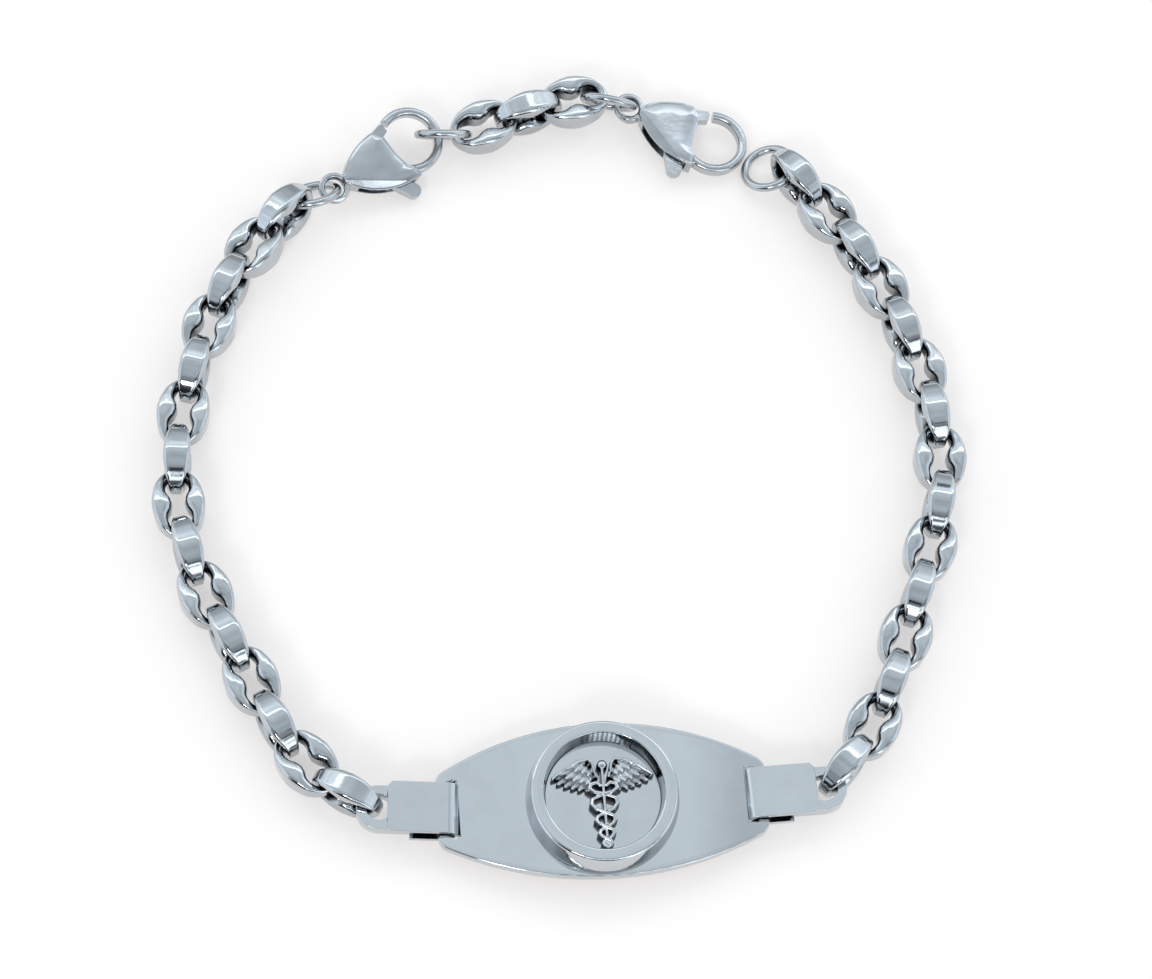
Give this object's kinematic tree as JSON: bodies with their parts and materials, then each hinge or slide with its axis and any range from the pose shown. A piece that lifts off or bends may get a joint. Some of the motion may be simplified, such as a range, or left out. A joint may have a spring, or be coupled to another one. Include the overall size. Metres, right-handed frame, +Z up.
{
  "type": "medical alert bracelet",
  "caption": "Open steel medical alert bracelet with a raised round caduceus emblem on an ID plate, faceted oval links and a removable extender with lobster clasps.",
  "frame": {"origin": "middle of the bracelet's outline, at the surface it lies on", "axes": "+X along the ID plate towards the right chain, +Y from the plate towards the clasps, +Z up"},
  "size_m": [0.073, 0.078, 0.0058],
  "materials": {
    "polished_steel": "polished",
    "mirror_steel": "mirror polished",
    "cast_steel": "cast and polished"
  },
  "bodies": {
    "bracelet": {"id_plate": "mirror_steel", "emblem_cup": "mirror_steel", "caduceus": "cast_steel", "left_band": "mirror_steel", "right_band": "mirror_steel", "left_link_01": "polished_steel", "left_link_02": "polished_steel", "left_link_03": "polished_steel", "left_link_04": "polished_steel", "left_link_05": "polished_steel", "left_link_06": "polished_steel", "left_link_07": "polished_steel", "left_link_08": "polished_steel", "left_link_09": "polished_steel", "left_link_10": "polished_steel", "left_link_11": "polished_steel", "left_link_12": "polished_steel", "left_link_13": "polished_steel", "left_link_14": "polished_steel", "left_link_15": "polished_steel", "right_link_01": "polished_steel", "right_link_02": "polished_steel", "right_link_03": "polished_steel", "right_link_04": "polished_steel", "right_link_05": "polished_steel", "right_link_06": "polished_steel", "right_link_07": "polished_steel", "right_link_08": "polished_steel", "right_link_09": "polished_steel", "right_link_10": "polished_steel", "right_link_11": "polished_steel", "right_link_12": "polished_steel", "right_link_13": "polished_steel", "right_link_14": "polished_steel", "right_link_15": "polished_steel", "left_ring": "polished_steel", "clasp_1": "polished_steel", "extender_ring_1": "polished_steel", "extender_link_1": "polished_steel", "extender_link_2": "polished_steel", "extender_link_3": "polished_steel", "extender_ring_2": "polished_steel", "clasp_2": "polished_steel", "right_ring": "polished_steel"},
    "clasp_1_lever": {"clasp_1_lever": "polished_steel"},
    "clasp_2_lever": {"clasp_2_lever": "polished_steel"}
  },
  "joints": [
    {"name": "clasp_1_lever_hinge", "type": "hinge", "parent": "bracelet", "child": "clasp_1_lever", "pos_m": [-0.01632, 0.03124, 0.00223], "axis": [0.1372, -0.2195, 0.9659], "range_deg": [-28, 0], "stiffness_Nm_per_rad": 0.001, "springref_deg": 20.05},
    {"name": "clasp_2_lever_hinge", "type": "hinge", "parent": "bracelet", "child": "clasp_2_lever", "pos_m": [0.0127, 0.0353, 0.00164], "axis": [0.078, -0.0389, 0.9962], "range_deg": [-28, 0], "stiffness_Nm_per_rad": 0.001, "springref_deg": 20.05}
  ]
}
